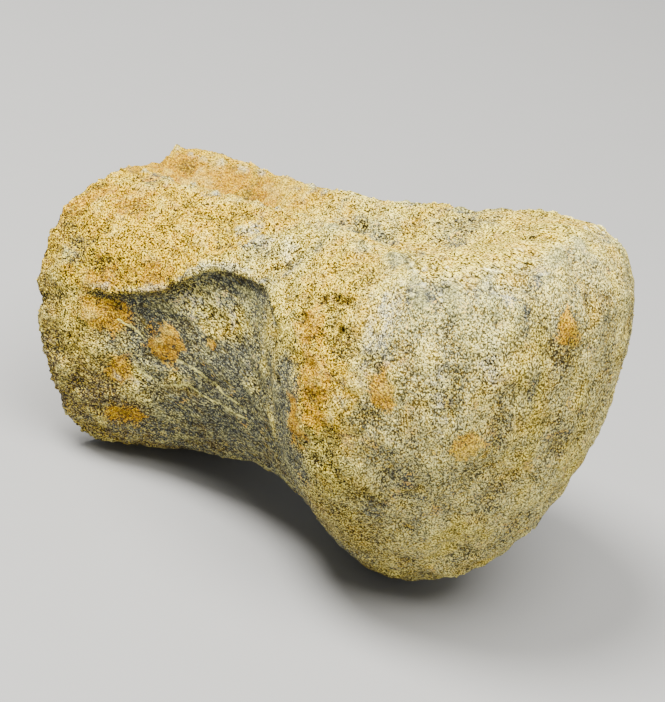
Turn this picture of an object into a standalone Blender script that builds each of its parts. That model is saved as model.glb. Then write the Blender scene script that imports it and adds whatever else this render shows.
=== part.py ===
"""The centrum of a large fossil crocodile vertebra, as one solid of bone.

It is the spool-shaped body of the vertebra alone: the arch over the spinal cord came away at its sutures.
A hollow socket faces -X and a worn ball faces +X. On top, a shallow channel for the spinal cord runs
between two sloping facets, where the arch sat. Under each facet's ledge the side is hollowed, and the
belly is waisted.

The bone is worked out in its own frame first: x from the socket's rim to the ball, y to its left side, and
z up, with the facets' crests at z = 0. It is then tipped until the socket's rim and the ball stand on the
floor together.
Run it with: blender --background --python part.py
"""

import math

import bmesh
import bpy
import numpy as np
from mathutils import Vector, noise

# Lengths along the bone, in metres.
LENGTH = 0.0929
BALL_START = 0.0590
WAIST_X = 0.0361
BELLY_WAIST_X = 0.0287

# Half widths and depths below the crests at the socket's rim, the waist and the ball, and the heights at
# which rim and ball are widest.
RIM_HALF, WAIST_HALF, BALL_HALF = 0.0245, 0.0213, 0.0286
RIM_DEPTH, WAIST_DEPTH, BALL_DEPTH = 0.0487, 0.0483, 0.0625
RIM_WIDEST, BALL_WIDEST = -0.0232, -0.0248

# How square the sections are, and the share of their width that they lose towards the belly.
UPPER_SQUARE, RIM_SQUARE, BALL_SQUARE = 2.87, 5.44, 2.10
RIM_TAPER, WAIST_TAPER, BALL_TAPER = 0.24, 0.46, 0.42
TAPER_CURVE = 1.6

# Socket and ball. The rim's sides stand forward of its top and bottom.
SOCKET_DEPTH = 0.0110
RIM_FORWARD, RIM_FORWARD_FADE = 0.0026, 0.0120
BALL_SQUARENESS = 2.16
BALL_TIP = -0.0109

# Channel for the spinal cord. It is shallow at the rim, flares over the ball and runs out there.
CHANNEL_HALF, CHANNEL_FLARED = 0.0076, 0.0223
FLARE_START, FLARE_END, FLARE_CURVE = 0.0360, 0.0780, 1.5
CHANNEL_DEPTH, CHANNEL_AT_RIM = 0.0052, 0.25
CHANNEL_RUNS_IN, CHANNEL_RUNS_OUT = (0.0, 0.0120), (0.0660, 0.0860)
CHANNEL_FLOOR, CHANNEL_TOP = -0.0160, -0.0050

# Facets for the arch. Each rises a little to the rim, and clears the bone again at the ball.
FACET_SLOPE = 0.72
FACET_RISE, FACET_FROM, FACET_CURVE = 0.0062, 0.0280, 1.5
FACET_CLEAR, FACET_TO, FACET_END = 0.0120, 0.0460, 0.0640
FACET_ROUNDING = 0.0020

# Ledges at the facets' lower edges.
LEDGE_FRONT, LEDGE_MIDDLE, LEDGE_BACK = -0.0140, -0.0085, -0.0175
LEDGE_RISES, LEDGE_FALLS = (0.0140, 0.0350), (0.0440, 0.0600)

# Hollow of each side, below its ledge.
HOLLOW_DEPTH, HOLLOW_LIP = 0.0046, 0.0022
HOLLOW_FROM = (0.0030, 0.0200)
HOLLOW_BACK, HOLLOW_LEAN, HOLLOW_END = 0.0500, 0.22, 0.0120
HOLLOW_KEEL = 0.0080

# Irregularity of the worn bone: swellings over the whole, and rugged bone on the facets and the rim.
SWELL, SWELL_SIZE = 0.0004, 0.0140
RUGGED, RUGGED_SIZE = 0.0005, 0.0042
RUGGED_RIM = (0.0020, 0.0080)
RUGGED_LEAST = 0.2

# The bone sinks this far into its resting plane, which leaves a small worn flat at each foot.
FOOT_WEAR = 0.0004

# Rings from socket to ball, and rows down each side from the middle of the channel to the belly.
SOCKET_RINGS, BODY_RINGS, BALL_RINGS = 13, 38, 27
CHANNEL_ROWS, FACET_ROWS, LIP_ROWS, SIDE_ROWS = 5, 7, 2, 22
RING_POINTS = 2 * (CHANNEL_ROWS + FACET_ROWS + LIP_ROWS + SIDE_ROWS)
INNERMOST_SHARE = 0.06
LAST_CLIMB = math.radians(87.5)
DENSE_POINTS = 1200

FOSSIL_COLOUR = (0.53, 0.42, 0.22, 1.0)
FOSSIL_ROUGHNESS = 0.82


def clear_scene():
    for thing in list(bpy.data.objects):
        bpy.data.objects.remove(thing)


def ramp(start, end, value):
    """0 before start, 1 after end, and smooth between."""
    t = np.clip((value - start) / (end - start), 0.0, 1.0)
    return t * t * (3.0 - 2.0 * t)


def lower_of(a, b, rounding):
    """The lower of two heights, rounded where they cross."""
    h = np.clip(0.5 + 0.5 * (b - a) / rounding, 0.0, 1.0)
    return b + (a - b) * h - rounding * h * (1.0 - h)


def spool(x, rim, waist, ball, waist_x):
    """A size along the body that runs from rim to waist to ball."""
    to_waist = rim + (waist - rim) * ramp(0.0, waist_x, x)
    to_ball = waist + (ball - waist) * ramp(waist_x, BALL_START, x)
    return np.where(x < waist_x, to_waist, to_ball)


def section(x, turn):
    """y and z of the plain section at x, at angles turned from its top, and its widest height."""
    side, up = np.sin(turn), np.cos(turn)
    along = ramp(0.0, BALL_START, x)
    widest = RIM_WIDEST + (BALL_WIDEST - RIM_WIDEST) * along
    square = np.where(up >= 0, UPPER_SQUARE, RIM_SQUARE + (BALL_SQUARE - RIM_SQUARE) * along)
    reach = np.abs(up) ** (2.0 / square)
    half = spool(x, RIM_HALF, WAIST_HALF, BALL_HALF, WAIST_X)
    taper = spool(x, RIM_TAPER, WAIST_TAPER, BALL_TAPER, WAIST_X)
    depth = spool(x, RIM_DEPTH, WAIST_DEPTH, BALL_DEPTH, BELLY_WAIST_X)
    y = half * np.sign(side) * np.abs(side) ** (2.0 / square)
    y = np.where(up < 0, y * (1.0 - taper * reach**TAPER_CURVE), y)
    z = np.where(up >= 0, widest * (1.0 - reach), widest - (depth + widest) * reach)
    return y, z, widest


def channel_half(x):
    flare = np.clip((x - FLARE_START) / (FLARE_END - FLARE_START), 0.0, 1.0)
    return CHANNEL_HALF + (CHANNEL_FLARED - CHANNEL_HALF) * flare**FLARE_CURVE


def ledge_height(x):
    risen = LEDGE_FRONT + (LEDGE_MIDDLE - LEDGE_FRONT) * ramp(*LEDGE_RISES, x)
    return risen + (LEDGE_BACK - LEDGE_MIDDLE) * ramp(*LEDGE_FALLS, x)


def cut_facets(x, y, z):
    """Slopes the shoulders beside the channel, from the rim to the start of the ball."""
    slope = -(np.abs(y) - channel_half(x)) * FACET_SLOPE
    rise = FACET_RISE * np.clip(1.0 - x / FACET_FROM, 0.0, 1.0) ** FACET_CURVE
    clear = FACET_CLEAR * ramp(FACET_TO, FACET_END, x)
    cut = lower_of(z, slope + rise + clear, FACET_ROUNDING)
    return np.where(z > RIM_WIDEST, cut, z)


def sink_sides(x, y, z):
    """Hollows each side below its ledge. The hollow eases out at the rim and ends aslant at the ball."""
    under = ramp(0.0, HOLLOW_LIP, ledge_height(x) - z)
    back = HOLLOW_BACK - HOLLOW_LEAN * (z - LEDGE_MIDDLE)
    before_ball = ramp(0.0, HOLLOW_END, back - x)
    behind_rim = ramp(*HOLLOW_FROM, x)
    flank = np.abs(y) / (np.abs(y) + HOLLOW_KEEL)
    return y - np.sign(y) * HOLLOW_DEPTH * under * before_ball * behind_rim * flank


def cut_channel(x, y, z):
    """Sinks the channel between the crests, with a rounded floor and sides that ease out at the crests."""
    run = CHANNEL_AT_RIM + (1.0 - CHANNEL_AT_RIM) * ramp(*CHANNEL_RUNS_IN, x)
    depth = CHANNEL_DEPTH * run * (1.0 - ramp(*CHANNEL_RUNS_OUT, x))
    across = np.clip(1.0 - (y / channel_half(x)) ** 2, 0.0, 1.0) ** 2
    return z - depth * across * ramp(CHANNEL_FLOOR, CHANNEL_TOP, z)


def ring_turns(station):
    """Angles of a ring's points, set so that one row follows each crest and one follows each ledge."""
    turn = np.linspace(0.0, math.pi, DENSE_POINTS)
    x = np.full_like(turn, station)
    y, z, _ = section(x, turn)
    z = cut_facets(x, y, z)
    walked = np.concatenate([[0.0], np.cumsum(np.hypot(np.diff(y), np.diff(z)))])
    crest = walked[np.argmax(y > channel_half(station))]
    ledge = walked[np.argmax(z < ledge_height(station))]
    stops = [0.0, crest, ledge, ledge + HOLLOW_LIP, walked[-1]]
    rows = [CHANNEL_ROWS, FACET_ROWS, LIP_ROWS, SIDE_ROWS]
    runs = [np.linspace(a, b, n, endpoint=False) for a, b, n in zip(stops, stops[1:], rows)]
    left = np.interp(np.concatenate(runs), walked, turn)
    right = 2.0 * math.pi - left[:0:-1]
    return np.concatenate([left, [math.pi], right])


def socket_ring(share):
    """A ring of the hollow socket, at this share of the rim's size."""
    turn = ring_turns(0.0)
    y, z, widest = section(np.zeros_like(turn), turn)
    x = SOCKET_DEPTH * (1.0 - share**2) - RIM_FORWARD * (y / RIM_HALF) ** 2 * share**2
    return x, y * share, widest + (z - widest) * share


def body_ring(station):
    turn = ring_turns(station)
    x = np.full_like(turn, station)
    y, z, _ = section(x, turn)
    forward = RIM_FORWARD * (y / RIM_HALF) ** 2 * (1.0 - ramp(0.0, RIM_FORWARD_FADE, station))
    return x - forward, y, z


def ball_ring(climb):
    """A ring of the ball. Climb goes from 0 where the ball starts to a quarter turn at its tip."""
    turn = ring_turns(BALL_START)
    share = math.cos(climb) ** (2.0 / BALL_SQUARENESS)
    x = BALL_START + (LENGTH - BALL_START) * math.sin(climb) ** (2.0 / BALL_SQUARENESS)
    y, z, widest = section(np.full_like(turn, BALL_START), turn)
    centre = widest + (BALL_TIP - widest) * math.sqrt(1.0 - share**2)
    return np.full_like(turn, x), y * share, centre + (z - widest) * share


def socket_shares():
    return np.linspace(INNERMOST_SHARE, 1.0, SOCKET_RINGS, endpoint=False)


def plain_rings():
    """All rings in order, from the socket's middle round the rim and along the body to the ball's tip."""
    stations = np.linspace(0.0, BALL_START, BODY_RINGS, endpoint=False)
    climbs = np.linspace(0.0, LAST_CLIMB, BALL_RINGS)
    rings = [socket_ring(share) for share in socket_shares()]
    rings += [body_ring(station) for station in stations]
    rings += [ball_ring(climb) for climb in climbs]
    return np.array(rings).transpose(0, 2, 1)


def carved_rings():
    """The rings with facets, side hollows and channel cut in. The socket's wall follows the carved rim."""
    rings = plain_rings()
    plain_rim = rings[SOCKET_RINGS].copy()
    x, y, z = rings[SOCKET_RINGS:].transpose(2, 0, 1)
    z = cut_facets(x, y, z)
    y = sink_sides(x, y, z)
    z = cut_channel(x, y, z)
    rings[SOCKET_RINGS:] = np.stack([x, y, z], axis=-1)
    moved = rings[SOCKET_RINGS] - plain_rim
    for ring, share in zip(rings, socket_shares()):
        ring += moved * share**3
    return rings


def ring_faces(ring_count):
    """Four-sided faces between neighbouring rings, and a fan at each end round one more point."""
    index = np.arange(ring_count * RING_POINTS).reshape(ring_count, RING_POINTS)
    after = np.roll(index, -1, axis=1)
    quads = np.stack([index[:-1], index[1:], after[1:], after[:-1]], axis=-1).reshape(-1, 4)
    first = ring_count * RING_POINTS
    fans = [(first, a, b) for a, b in zip(index[0].tolist(), after[0].tolist())]
    fans += [(first + 1, b, a) for a, b in zip(index[-1].tolist(), after[-1].tolist())]
    return quads.tolist() + fans


def rugged_share(point):
    """1 on the facets and the rim, and less on the channel, the hollows and the ball."""
    x, y, z = point
    above = ramp(-0.5 * HOLLOW_LIP, 0.5 * HOLLOW_LIP, z - ledge_height(x))
    beside = ramp(0.0, HOLLOW_LIP, abs(y) - channel_half(x))
    facet = above * beside * (1.0 - ramp(FACET_TO, FACET_END, x))
    rim = 1.0 - ramp(*RUGGED_RIM, x)
    return float(RUGGED_LEAST + (1.0 - RUGGED_LEAST) * max(facet, rim))


def roughened(points, normals):
    """Moves the points a little along their normals, by broad swellings and by the rugged bone's bumps."""
    moved = points.copy()
    for i, (point, normal) in enumerate(zip(points, normals)):
        broad = noise.fractal(Vector(point / SWELL_SIZE), 1.0, 2.0, 2)
        bumps = noise.fractal(Vector(point / RUGGED_SIZE), 1.0, 2.0, 2)
        moved[i] += normal * (SWELL * broad + RUGGED * bumps * rugged_share(point))
    return moved


def mesh_of(name, points, faces):
    mesh = bpy.data.meshes.new(name)
    mesh.from_pydata(points.tolist(), [], faces)
    outward = bmesh.new()
    outward.from_mesh(mesh)
    bmesh.ops.recalc_face_normals(outward, faces=outward.faces)
    outward.to_mesh(mesh)
    outward.free()
    return mesh


def normals_of(mesh):
    normals = np.zeros(len(mesh.vertices) * 3)
    mesh.vertices.foreach_get("normal", normals)
    return normals.reshape(-1, 3)


def tipped(points, angle):
    """The points turned about the y axis, so that the ball rises by this angle."""
    x, y, z = points.T
    c, s = math.cos(angle), math.sin(angle)
    return np.stack([x * c - z * s, y, x * s + z * c], axis=-1)


def resting_angle(points):
    """The tip at which the lowest point of the socket's half and that of the ball's half are level."""
    low, high = 0.0, math.radians(40.0)
    front = points[:, 0] < WAIST_X
    for _ in range(40):
        middle = (low + high) / 2.0
        z = tipped(points, middle)[:, 2]
        if z[~front].min() < z[front].min():
            low = middle
        else:
            high = middle
    return low


def set_down(points):
    """Tips the bone to rest, wears its feet flat, and puts the origin on the floor under its middle."""
    placed = tipped(points, resting_angle(points))
    middle = (placed.min(axis=0) + placed.max(axis=0)) / 2.0
    placed -= (middle[0], middle[1], placed[:, 2].min() + FOOT_WEAR)
    placed[:, 2] = np.maximum(placed[:, 2], 0.0)
    return placed


def fossil_bone():
    material = bpy.data.materials.new("fossil_bone")
    material.use_nodes = True
    finish = material.node_tree.nodes["Principled BSDF"]
    finish.inputs["Base Color"].default_value = FOSSIL_COLOUR
    finish.inputs["Roughness"].default_value = FOSSIL_ROUGHNESS
    finish.inputs["Metallic"].default_value = 0.0
    return material


def build_centrum():
    rings = carved_rings()
    poles = np.array([rings[0].mean(axis=0), rings[-1].mean(axis=0)])
    poles[:, 0] = (SOCKET_DEPTH, LENGTH)
    points = np.concatenate([rings.reshape(-1, 3), poles])
    faces = ring_faces(len(rings))
    smooth = mesh_of("smooth_centrum", points, faces)
    points = roughened(points, normals_of(smooth))
    bpy.data.meshes.remove(smooth)
    mesh = mesh_of("centrum", set_down(points), faces)
    mesh.shade_smooth()
    mesh.materials.append(fossil_bone())
    centrum = bpy.data.objects.new("centrum", mesh)
    bpy.context.scene.collection.objects.link(centrum)


clear_scene()
build_centrum()
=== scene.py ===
import math

import bmesh
import bpy
import numpy as np
from mathutils import Matrix, Vector


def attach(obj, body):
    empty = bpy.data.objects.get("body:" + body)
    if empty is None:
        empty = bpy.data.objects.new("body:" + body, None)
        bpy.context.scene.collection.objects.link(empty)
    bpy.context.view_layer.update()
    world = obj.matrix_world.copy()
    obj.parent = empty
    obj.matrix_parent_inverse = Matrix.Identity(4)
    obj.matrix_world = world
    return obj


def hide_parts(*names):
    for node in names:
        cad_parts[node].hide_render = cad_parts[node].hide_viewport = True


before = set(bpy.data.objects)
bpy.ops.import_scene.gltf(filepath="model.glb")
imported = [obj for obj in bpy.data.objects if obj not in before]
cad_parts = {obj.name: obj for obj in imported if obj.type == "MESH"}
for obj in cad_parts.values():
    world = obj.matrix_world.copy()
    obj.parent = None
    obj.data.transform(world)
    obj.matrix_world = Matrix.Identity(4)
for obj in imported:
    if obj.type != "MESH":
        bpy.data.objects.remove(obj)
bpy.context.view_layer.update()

bl_info = {
    "name": "Fossil vertebra finish",
    "version": (1, 0, 0),
    "blender": (4, 5, 0),
    "location": "View3D > Sidebar > Fossil",
    "description": "Weathered bone surface, crust grains and stage for a fossil crocodile centrum",
    "category": "Object",
}

MILLIMETRES = 1000.0

# The bone's own frame, inside the frame of the part: x from socket to ball, y to the left side, z up.
TIP = math.radians(13.194)
OWN_ORIGIN = np.array([-0.046918, 0.0, 0.047215])

# Forms of the solid that the finish follows, in millimetres of the bone's own frame.
CHANNEL_HALF, CHANNEL_FLARED = 7.6, 22.3
FLARE_START, FLARE_END, FLARE_CURVE = 36.0, 78.0, 1.5
LEDGE_FRONT, LEDGE_MIDDLE, LEDGE_BACK = -14.0, -8.5, -17.5
LEDGE_RISES, LEDGE_FALLS = (14.0, 35.0), (44.0, 60.0)
HOLLOW_BACK, HOLLOW_LEAN, CORNER = 50.0, 0.22, -0.5
LEDGE_SAG = 1.9
DISH_START, DISH_LENGTH, DISH_SQUARENESS = 62.0, 24.0, 3.0
SOCKET_DEPTH, SOCKET_FLARE = 12.0, 2.0

# The facets are yellow in front of a slanting line through this x and z.
YELLOW_X, YELLOW_Z, YELLOW_SLOPE = 24.8, -12.3, 1.5
# Below this height the hollow's colour sweeps back towards the ball, by so much a millimetre.
SWEEP_TOP, SWEEP_RATE, SWEEP_MOST, SWEEP_END = -13.0, 0.45, 6.0, (-42.0, -30.0)

# Regions of the bone. Each row names a measure, where the region begins along it and where it is full.
REGIONS = {
    "facet": (("above", -0.6, 0.3), ("beside", -0.5, 1.5), ("x", 58, 50)),
    "yellow": (("past_line", 3, -3),),
    "top": (("beside", 1.5, -1), ("z", -14, -7)),
    "dish": (("x", 50, 62), ("outward", 1.05, 0.90)),
    "groove": (("x", 56, 46),),
    "ball": (("x", 62, 71),),
    "neck": (("rear", -1, -5), ("x", 75, 64), ("z", -46, -34)),
    "rim": (("x", 13, 5),),
    "belly": (("z", -32, -46),),
    "outside": (("flared", 14, 17),),
    "hollow": (("below", 0.3, 1), ("swept", -3.5, 9), ("x", 6, 19)),
    "brow_round": (("x", 64, 74),),
    "brow_along": (("x", 42, 50), ("x", 75, 68)),
    "brow": (("z", -9, -4),),
    "lip": (("rear", 0, 5), ("x", 7, 11), ("x", 50, 36)),
    "under": (("rear", -1, 3), ("x", 7, 11)),
    "crest": (("x", 46, 36), ("z", -9, -6)),
    "warm_groove": (("x", 52, 30),),
    "warm_neck": (("z", -32, -22),),
    # The next six regions paint brown soil together with painted shade on the bone's undersides.
    "earth_and_shade_rim": (("x", 4.5, 1), ("z", -3, -8)),
    "earth_and_shade_belly": (("x", 64, 50),),
    "earth_and_shade_flank": (("x", 20, 8),),
    "earth_and_shade_below_ledge": (("above", 0, -2),),
    "earth_and_shade_low": (("z", -22, -38),),
    "earth_and_shade_neck": (("x", 56, 60), ("x", 74, 64), ("z", -28, -44)),
    "drawn_hollow": (("rear", 3, 9),),
    "drawn_rim": (("z", -16, -28),),
    "calm_groove": (("x", 44, 24),),
    "calm_rim": (("x", 5, 2), ("z", -5, -2), ("y", -1, 3)),
    "flaky": (("x", 66, 74), ("side", 6, 10), ("z", -9, -3)),
    "worn": (("off_corner", 10, 4), ("z", -9.5, -15)),
}
# Where the front end of the ledge is lowered, stated the same way.
SAGGING = (("off_ledge", 9, 1), ("x", 32, 22), ("x", 2, 7), ("side", 14, 18))
# Bands along edges: a measure, the band's middle along it and its width.
EDGES = {
    "brow_round": ("outward", 1.03, 0.09),
    "brow_along": ("beside", 0, 1.3),
    "lip": ("above", 0.5, 0.9),
    "under": ("above", -1.1, 0.9),
    "crest": ("beside", -0.5, 1.3),
    "flaky": ("outward", 0.92, 0.12),
}

# Patches on the near side: x, y, z, radius and how much taller than wide, in the bone's own millimetres.
# The far side has the same ones, moved by FAR_SHIFT.
FAR_SHIFT = (-4, -3)
PATCHES = {
    "rust": (
        (21.2, -18.9, -23.9, 2.6, 1.1), (31.1, -18, -21.9, 0.9, 0.8), (60.2, -28.3, -19, 2.3, 1.5),
        (60.3, -28.7, -23.4, 1.5, 1), (72.2, -26.8, -16.3, 1.6, 1.6), (82.4, -19.6, -24.7, 1.6, 1.3),
        (91.7, -8.3, -7.5, 1.6, 1.3), (10.8, -22.2, -19.5, 3.2, 1), (12.5, -20.7, -30.2, 2, 1),
        (11.8, -18.5, -39.2, 2.4, 0.8), (14, 4, -2.7, 4.5, 1), (5.1, 3, -2, 4, 1),
        (23, 4, -3.3, 3.5, 1), (10.1, -14.6, -2.6, 2.6, 1), (3.2, -15.2, -2.8, 2.4, 1),
        (0.9, -18.2, -5.5, 1.8, 1), (11.4, -22.7, -12.4, 3, 0.6), (21.4, -20.8, -10.7, 2.4, 0.8),
        (58.1, -26.3, -10.6, 2, 1.6), (56.2, -28.4, -25.7, 1.8, 1.6),
    ),
    "pit": (
        (58, -23.7, -6.6, 0.9, 1), (60.6, -23.4, -5.9, 1.2, 0.6), (62.2, -24, -5.6, 1.2, 0.6),
        (55.5, -25.5, -9.6, 0.9, 1.4), (63.6, -26.2, -9.3, 0.6, 1.5), (51.5, -26.6, -20.5, 0.9, 1),
        (59, -18, -49.2, 0.5, 1), (45, 2.8, -4, 1.1, 1), (50.3, 2, -4.6, 0.8, 1),
        (70.9, -14.4, 3.4, 0.8, 1.6),
    ),
    "chalk": (
        (70.3, -24.2, -5.2, 2.6, 1.4), (70.3, -26.2, -9.5, 2.4, 1.4), (85.3, -19.1, -10.6, 1.6, 2.4),
        (79.6, -23, -16, 1.5, 3), (83.7, -16, -1.6, 2.6, 0.6), (35.2, -13.4, -3.7, 2.6, 0.8),
        (42.9, -14, -4.4, 3, 0.8), (48.5, -17.1, -4.4, 2.4, 0.8),
    ),
    "pale": (
        (27.4, -17.8, -15.2, 3, 1), (31.1, -17.8, -16.9, 2.6, 1), (36.8, -18.1, -17.3, 3, 1),
        (44.3, -21.7, -16.9, 3, 1.6), (39.7, -18.5, -24.8, 1.6, 1.4), (47, -22, -29.1, 3, 1),
        (14.2, -19.7, -31.8, 3.4, 1), (24, -17, -30, 2, 0.6),
    ),
    "slate": (
        (18.6, -19.1, -17.7, 3.4, 0.8), (21.6, -18.8, -20.6, 3.2, 1), (31.3, -17.5, -28.9, 3.6, 0.8),
        (36.2, -17.1, -30.7, 3.4, 0.9), (29.3, -15.3, -35.4, 4.4, 0.7), (38.5, -18.4, -22.8, 2.6, 0.9),
        (43.3, -19.9, -9.9, 2.6, 1.2), (38, -18.6, -10.4, 3, 0.5), (54.8, -27.9, -19.7, 2.6, 1.3),
        (69.4, -26.5, -11.6, 2, 1.4), (67.7, -17.5, -0.1, 2.8, 0.7), (75.8, -21, -2.2, 2.2, 0.7),
        (88.2, -14.9, -5.8, 1.8, 2.4), (60.5, 8.1, -2.3, 4.6, 0.6), (45, 2.8, -4, 2, 0.8),
        (50.3, 2, -4.6, 1.8, 0.8), (9.3, -9.4, -0.8, 2.2, 0.8), (5, -22, -9.6, 3, 0.8),
        (38, -14.8, -4.8, 2.4, 1), (50.3, -14.5, -1.9, 1.8, 1), (47.5, -17.4, -4.9, 2.2, 1),
        (74, -22, -33, 3, 1), (68, -22.5, -39, 2.4, 1), (88.5, -13, -17, 2.2, 3.6),
        (91, -4.1, -23, 1.6, 1.6),
    ),
}

# Pale scratches across the near hollow: x and z of their turns; None lifts the point.
SCRATCH_WIDTH, SCRATCH_WANDER = 0.00030, 0.0022
SCRATCHES = (
    (15.7, -29.7), (19.5, -31.5), (25.0, -31.0), (28.5, -32.2), (33.0, -33.0), (37.0, -33.6), None,
    (13.2, -21.3), (17.7, -23.6), None,
    (24.0, -26.3), (29.5, -27.8), (32.5, -29.9), (37.0, -32.2),
)

# Region masks that the colouring reads.
COLOUR_MASKS = (
    "ochre", "slate", "rust", "chalk", "earth", "upright", "lengthwise", "under", "calm", "pit")

# Noise scales of the mineral, in features to a metre.
GRAIN_SCALE, BALL_GRAIN_SCALE, HOLLOW_GRAIN_SCALE = 3900, 4600, 3800
CRYSTAL_SCALE, FIBRE_SCALE, CLUMP_SCALE = 3300, 2600, 1300
MOTTLE_SCALE, BLOTCH_SCALE, STREAK_SCALE = 420, 130, 150
RAGGED_SCALE, CRUST_PATCH_SCALE, WOBBLE_SCALE, FLOOR_SCALE = 800, 160, 260, 60
# Stretch of the noise on the ball, of its streaks, and of the hollows' grain and fibres, which slant.
BALL_STRETCH, STREAK_STRETCH = (1, 1, 0.6), (1, 1, 0.2)
HOLLOW_STRETCH, FIBRE_STRETCH, HOLLOW_SLANT = (0.34, 1, 1), (0.07, 1, 1), -0.4

# Relief: where noise counts as lowest and highest, and the range of the ragged edges.
NOISE_SPREAD, RAGGED_RANGE = (0.3, 0.7), (0.35, 0.65, 0.1, 1.7)
# Shares of the grain's height on smooth bone, and added to them on rough bone.
GRAIN_SHARES, ROLL_SHARES = (0.25, 0.75), (0.6, 0.4)
ROLL_HEIGHT, ROLL_SCALE = 1.7, 0.28
PIT_CHANCE, PIT_EDGE, PIT_WAVE, BORED_EDGE = (0.45, 0.4), (0.34, 0.14), 0.25, (0.35, 0.8)
UPRIGHT_FLUTES, LENGTHWISE_FLUTES = (1, 1, 0.16), (0.14, 1, 1)
WRINKLE_HEIGHT, WRINKLE_SCALE = 0.7, 2.2
UNDER_HEIGHT, CREST_HEIGHT, BROW_LIFT = -1.4, 1.1, 0.8
SOFTENINGS, FAR_OFF = 160, -10

# Crust: shares of the density on the rough parts, on chalk and everywhere; no grain below this height.
CRUST_ROUGH, CRUST_CHALK, CRUST_ALL = 0.8, 1.2, 0.2
CRUST_PATCHES, CLEAR_OF_FLOOR = (0.35, 0.65, 0.25, 1), (0.001, 0.002)
GRAIN_TURNS = ((0, 0, 0), (6.28, 6.28, 6.28))
GRAIN_SHAPES, FLAKE_SHAPES = ((0.6, 0.6, 0.5), (1, 1, 0.9)), ((1.3, 0.9, 0.7), (3.8, 2, 1.2))
SHAPE_SEED, SIZE_SEED, FLAKE_SEED = 3, 5, 11
FLAKE_CHALK, CRUST_PALENESS = 0.75, 0.3

# Mottling of the bone: the noise, where it sets in and where it is full, its strength and its tone.
MOTTLING = (
    ("Blotch", 0.50, 0.64, 0.55, "olive"),
    ("Blotch", 0.48, 0.34, 0.65, "ochre"),
    ("Mottle", 0.47, 0.36, 0.42, "slate"),
    ("Mottle", 0.54, 0.66, 0.20, "chalk"),
)
# Streaks of the ball, stated the same way.
STREAKS = ((0.49, 0.60, 0.64, "slate"), (0.50, 0.36, 0.70, "cream"))

# Ragged stains, and the painted shadow under the lip: where the edge of the mask starts and ends, the
# strength, and how ragged it is.
STAIN_EDGES = {
    "ochre": (0.30, 0.80, 0.96, 3.2),
    "slate": (0.12, 0.72, 0.94, 4.2),
    "rust": (0.40, 0.58, 0.92, 3.2),
    "chalk": (0.36, 1, 0.6, 2.6),
    # under: a painted shadow, the dark band below the ledge's lip.
    "under": (0.30, 0.60, 0.85, 1.7),
}

# How strong the specks are where a region is full: where its mask starts and ends, and the factor.
SPECK_FACTORS = {
    "calm": (0, 1, 0.45),
    "slate": (0.3, 1, 0.52),
    "chalk": (0.2, 0.8, 1.3),
    "upright": (0, 1, 0.92),
    "lengthwise": (0, 1, 1.15),
    "earth": (0, 1, 0.7),
}
# Gains of the specks; the light specks' gain also paints sparkle, so they are partly light grains and partly
# painted glints.
LIGHT_SPECKS, DARK_SPECKS, LEAST_GAIN, BALL_GAIN = 1.6, -0.86, 0.10, 1.26
SPECULAR, SPECULAR_TINT = 0.2, (1, 0.78, 0.32, 1)
BUMP_STRENGTH, BUMP_DISTANCE = 0.8, 0.0007

# Stage. Lamps: shares of the view's up, back and right, then distance and size in metres.
LAMPS = {"key": (0.85, 0.6, -0.2, 0.8, 0.3), "fill": (0.8, 1, 0.4, 1, 0.7)}
LAMP_COLOUR, SKY_COLOUR = (1, 0.955, 0.85), (1, 0.985, 0.94, 1)
FLOOR_HALF, FLOOR_MOTTLE, FLOOR_ROUGHNESS, NEAREST_SEEN = 1.5, 0.97, 0.9, 0.01


class SkinSettings(bpy.types.PropertyGroup):
    voxel: bpy.props.FloatProperty(
        name="Voxel", description="Mesh size of the bone's surface",
        default=0.00054, min=0.0003, unit="LENGTH")
    grain_height: bpy.props.FloatProperty(
        name="Grain height", description="Height of the granular bone", default=0.00028, unit="LENGTH")
    grain_size: bpy.props.FloatProperty(
        name="Grain size", description="Spacing of the granular bone", default=0.0013, unit="LENGTH")
    pit_depth: bpy.props.FloatProperty(
        name="Pit depth", description="Depth of the pits at the ball's neck",
        default=0.0013, unit="LENGTH")
    pit_spacing: bpy.props.FloatProperty(
        name="Pit spacing", description="Spacing of the pits", default=0.0042, unit="LENGTH")
    flute_height: bpy.props.FloatProperty(
        name="Flute height", description="Height of the ball's worn flutes",
        default=0.00022, unit="LENGTH")
    flute_spacing: bpy.props.FloatProperty(
        name="Flute spacing", description="Spacing of the ball's worn flutes",
        default=0.0034, unit="LENGTH")
    lip_height: bpy.props.FloatProperty(
        name="Lip height", description="How far the ledge's lip stands out",
        default=0.00035, unit="LENGTH")


class CrustSettings(bpy.types.PropertyGroup):
    density: bpy.props.FloatProperty(
        name="Density", description="Crust grains to a square metre", default=900000.0, min=0.0,
        subtype="UNSIGNED")
    smallest: bpy.props.FloatProperty(
        name="Smallest", description="Radius of the smallest grain", default=0.00014, unit="LENGTH")
    largest: bpy.props.FloatProperty(
        name="Largest", description="Radius of the largest grain", default=0.00036, unit="LENGTH")
    flakes: bpy.props.FloatProperty(
        name="Flakes", description="Flat flakes to a square metre of the flaking top",
        default=150000.0, min=0.0, subtype="UNSIGNED")
    seed: bpy.props.IntProperty(
        name="Seed", description="Which scatter of grains is drawn", default=7, subtype="UNSIGNED")


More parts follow.
